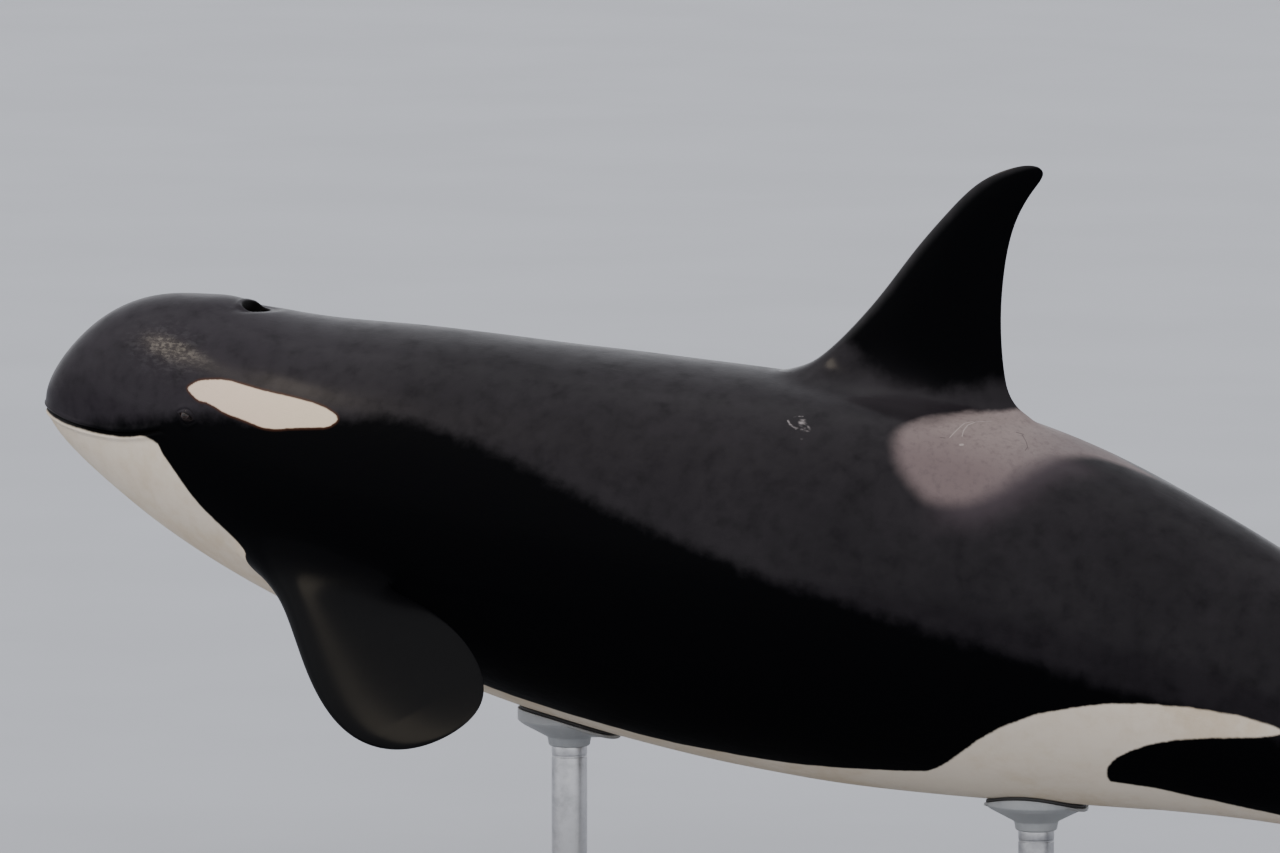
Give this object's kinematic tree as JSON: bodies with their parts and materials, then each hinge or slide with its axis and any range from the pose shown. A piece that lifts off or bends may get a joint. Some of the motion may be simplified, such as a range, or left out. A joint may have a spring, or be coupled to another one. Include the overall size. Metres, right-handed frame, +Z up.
{
  "type": "orca museum model",
  "caption": "Life-size still model of a whole orca, mouth closed and blowhole open, held nose-up over its floor by a flat steel base and two short rods.",
  "frame": {"origin": "on the floor, at the middle of the box round the whole model, under the stand's base", "axes": "+X from the snout to the tail, +Y to the orca's right side, +Z up"},
  "size_m": [6.137, 2.0238, 2.4175],
  "materials": {
    "skin_black": "wet smooth black skin, fine scratches",
    "skin_white": "wet smooth off-white skin",
    "skin_grey": "wet smooth grey skin, soft edges, fine scratches",
    "eye": "glossy dark brown eye",
    "stand_metal": "satin grey powder coat, worn at the edges",
    "stand_pad": "matt black rubber pad"
  },
  "bodies": {
    "root": {"head": "skin_black", "lower_jaw": "skin_white", "eye_left": "eye", "eye_right": "eye", "eye_patch_left": "skin_white", "eye_patch_right": "skin_white", "chest": "skin_black", "midbody": "skin_black", "loin": "skin_black", "saddle_patch": "skin_grey", "tail_stock": "skin_black", "fluke_left": "skin_black", "fluke_right": "skin_black", "dorsal_fin": "skin_black", "flipper_left": "skin_black", "flipper_right": "skin_black", "stand_base": "stand_metal", "stand_rod_front": "stand_metal", "stand_rod_rear": "stand_metal", "stand_collar_front": "stand_metal", "stand_collar_rear": "stand_metal", "stand_cradle_front": "stand_pad", "stand_cradle_rear": "stand_pad"}
  },
  "joints": []
}
